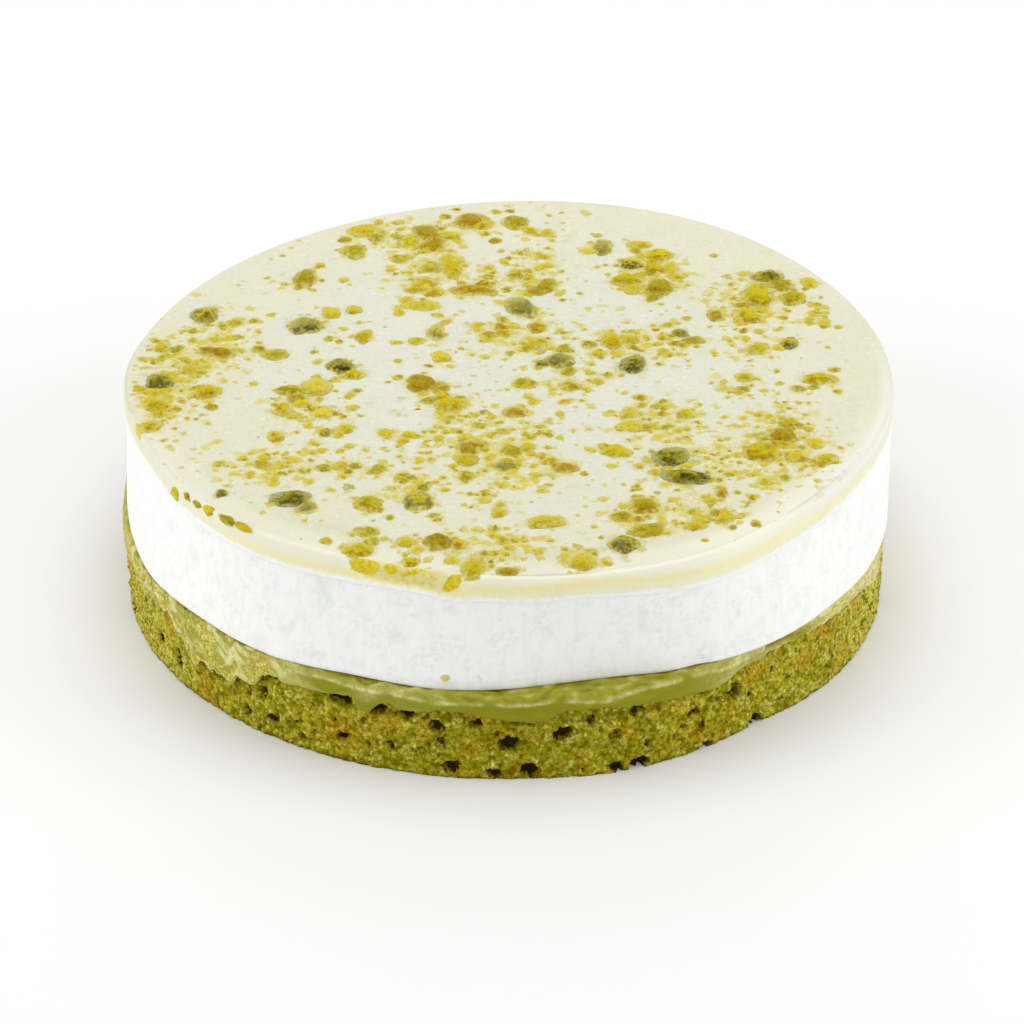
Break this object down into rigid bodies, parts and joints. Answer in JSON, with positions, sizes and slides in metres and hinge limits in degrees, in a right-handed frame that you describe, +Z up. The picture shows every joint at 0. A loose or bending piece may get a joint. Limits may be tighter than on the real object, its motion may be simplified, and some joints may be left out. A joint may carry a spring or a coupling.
{
  "type": "semifreddo cake",
  "caption": "Round pistachio semifreddo cake: crumbly green sponge, pistachio cream, thick white layer and pale glaze scattered with broken pistachios.",
  "frame": {"origin": "centre of the sponge's flat underside, on the surface the cake stands on", "axes": "+Z up through the cake; -Y is the front, the side that the picture faces; +X to the right of it"},
  "size_m": [0.1603, 0.1622, 0.0472],
  "materials": {
    "pistachio_sponge": "crumbly, matte",
    "pistachio_cream": "smooth, softly glossy",
    "white_semifreddo": "fine foam, matte",
    "pale_glaze": "satin to glossy, set"
  },
  "bodies": {
    "root": {"sponge_base": "pistachio_sponge", "pistachio_cream": "pistachio_cream", "semifreddo_layer": "white_semifreddo", "glaze_top": "pale_glaze"}
  },
  "joints": []
}
